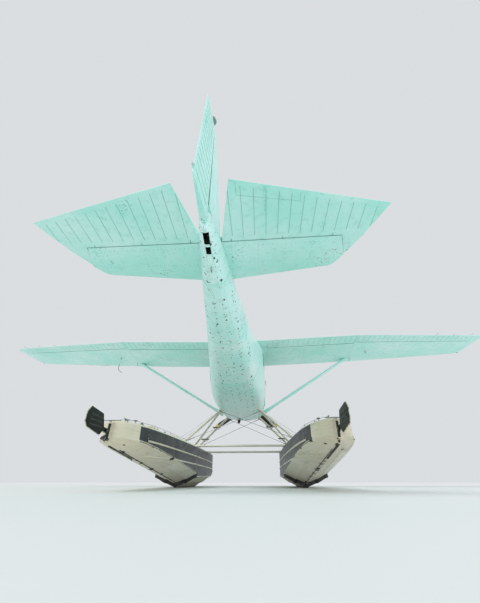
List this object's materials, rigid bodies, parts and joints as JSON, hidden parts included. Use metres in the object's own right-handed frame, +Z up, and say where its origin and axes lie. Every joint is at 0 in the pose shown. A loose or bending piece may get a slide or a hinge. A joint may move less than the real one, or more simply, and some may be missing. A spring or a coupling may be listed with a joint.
{
  "type": "single-engined high-wing utility floatplane",
  "caption": "High-wing light aircraft on twin stepped floats, with strut-braced wing, hollow cabin, opening doors, working control surfaces, flaps, propeller and water rudders",
  "frame": {"origin": "on the floor under the middle of the aircraft's bounding box, midway between the floats", "axes": "+X is the aircraft's left wing, +Y is aft, +Z is up; millimetres in the source, metres here"},
  "size_m": [10.92, 8.23, 3.69],
  "materials": {
    "mint_skin": "aluminium sheet in pale mint enamel, worn and stained",
    "ivory_skin": "aluminium sheet in ivory enamel, dirty, worn through along keels and chines",
    "propeller_metal": "polished forged aluminium",
    "engine_metal": "plain cast block",
    "dark_metal": "dark green-black weathered plate",
    "window_glass": "clear acrylic sheet",
    "seat_leather": "worn brown-grey leather",
    "cabin_trim": "matte black moulded plastic"
  },
  "bodies": {
    "airframe": {"cowl": "mint_skin", "engine": "engine_metal", "cabin_lower": "mint_skin", "cabin_top": "mint_skin", "windscreen": "window_glass", "instrument_panel": "cabin_trim", "rear_seat": "seat_leather", "tailcone": "mint_skin", "fin": "mint_skin", "spreader_front": "ivory_skin", "spreader_aft": "ivory_skin", "side_window_left": "window_glass", "side_window_right": "window_glass", "seat_left": "seat_leather", "seat_right": "seat_leather", "wing_left": "mint_skin", "wing_right": "mint_skin", "wing_strut_left": "mint_skin", "wing_strut_right": "mint_skin", "tailplane_left": "mint_skin", "tailplane_right": "mint_skin", "float_left": "ivory_skin", "float_right": "ivory_skin", "float_strut_front_left": "ivory_skin", "float_strut_front_right": "ivory_skin", "float_strut_aft_left": "ivory_skin", "float_strut_aft_right": "ivory_skin"},
    "propeller": {"propeller": "propeller_metal", "spinner": "propeller_metal"},
    "aileron_left": {"aileron_left": "mint_skin"},
    "aileron_right": {"aileron_right": "mint_skin"},
    "flap_left": {"flap_left": "mint_skin"},
    "flap_right": {"flap_right": "mint_skin"},
    "elevator": {"elevator": "mint_skin"},
    "rudder": {"rudder": "mint_skin"},
    "door_left": {"door_left": "mint_skin", "door_window_left": "window_glass"},
    "door_right": {"door_right": "mint_skin", "door_window_right": "window_glass"},
    "baggage_door": {"baggage_door": "mint_skin"},
    "water_rudder_left": {"water_rudder_post_left": "dark_metal"},
    "water_rudder_right": {"water_rudder_post_right": "dark_metal"},
    "water_blade_left": {"water_rudder_blade_left": "dark_metal"},
    "water_blade_right": {"water_rudder_blade_right": "dark_metal"}
  },
  "joints": [
    {"name": "propeller_spin", "type": "hinge", "parent": "airframe", "child": "propeller", "pos_m": [0, -3.505, 1.95], "axis": [0, 1, 0], "continuous": true},
    {"name": "aileron_left_turn", "type": "hinge", "parent": "airframe", "child": "aileron_left", "pos_m": [2.62, -0.52, 2.72605], "axis": [0.9914, -0.1263, 0.0338], "range_deg": [-20, 20]},
    {"name": "aileron_right_turn", "type": "hinge", "parent": "airframe", "child": "aileron_right", "pos_m": [-2.62, -0.52, 2.72605], "axis": [-0.9914, -0.1263, 0.0338], "range_deg": [-20, 20]},
    {"name": "flap_left_turn", "type": "hinge", "parent": "airframe", "child": "flap_left", "pos_m": [0.65, -0.562, 2.62436], "axis": [-0.9995, 0, -0.0304], "range_deg": [0, 40]},
    {"name": "flap_right_turn", "type": "hinge", "parent": "airframe", "child": "flap_right", "pos_m": [-0.65, -0.562, 2.62436], "axis": [-0.9995, 0, 0.0304], "range_deg": [0, 40]},
    {"name": "elevator_turn", "type": "hinge", "parent": "airframe", "child": "elevator", "pos_m": [0, 3.255, 2.19], "axis": [1, 0, 0], "range_deg": [-23, 26]},
    {"name": "rudder_turn", "type": "hinge", "parent": "airframe", "child": "rudder", "pos_m": [0, 3.64, 2.8], "axis": [0, 0, 1], "range_deg": [-24, 24]},
    {"name": "door_left_swing", "type": "hinge", "parent": "airframe", "child": "door_left", "pos_m": [0.556, -1.7775, 1.84], "axis": [0, 0, -1], "range_deg": [0, 70]},
    {"name": "door_right_swing", "type": "hinge", "parent": "airframe", "child": "door_right", "pos_m": [-0.556, -1.7775, 1.84], "axis": [0, 0, 1], "range_deg": [0, 70]},
    {"name": "baggage_door_swing", "type": "hinge", "parent": "airframe", "child": "baggage_door", "pos_m": [0.502, 0.0425, 1.925], "axis": [0, 0, -1], "range_deg": [0, 85]},
    {"name": "water_rudder_left_steer", "type": "hinge", "parent": "airframe", "child": "water_rudder_left", "pos_m": [1.25, 2.025, 0.56], "axis": [0, 0, 1], "range_deg": [-30, 30]},
    {"name": "water_rudder_right_steer", "type": "hinge", "parent": "airframe", "child": "water_rudder_right", "pos_m": [-1.25, 2.025, 0.56], "axis": [0, 0, 1], "range_deg": [-30, 30]},
    {"name": "water_blade_left_lower", "type": "hinge", "parent": "water_rudder_left", "child": "water_blade_left", "pos_m": [1.25, 2.085, 0.56], "axis": [-1, 0, 0], "range_deg": [0, 75]},
    {"name": "water_blade_right_lower", "type": "hinge", "parent": "water_rudder_right", "child": "water_blade_right", "pos_m": [-1.25, 2.085, 0.56], "axis": [-1, 0, 0], "range_deg": [0, 75]}
  ],
  "couplings": [
    {"joint": "aileron_right_turn", "follows": "aileron_left_turn", "ratio": 1},
    {"joint": "flap_right_turn", "follows": "flap_left_turn", "ratio": 1},
    {"joint": "water_rudder_left_steer", "follows": "rudder_turn", "ratio": 1.25},
    {"joint": "water_rudder_right_steer", "follows": "rudder_turn", "ratio": 1.25},
    {"joint": "water_blade_right_lower", "follows": "water_blade_left_lower", "ratio": 1}
  ]
}
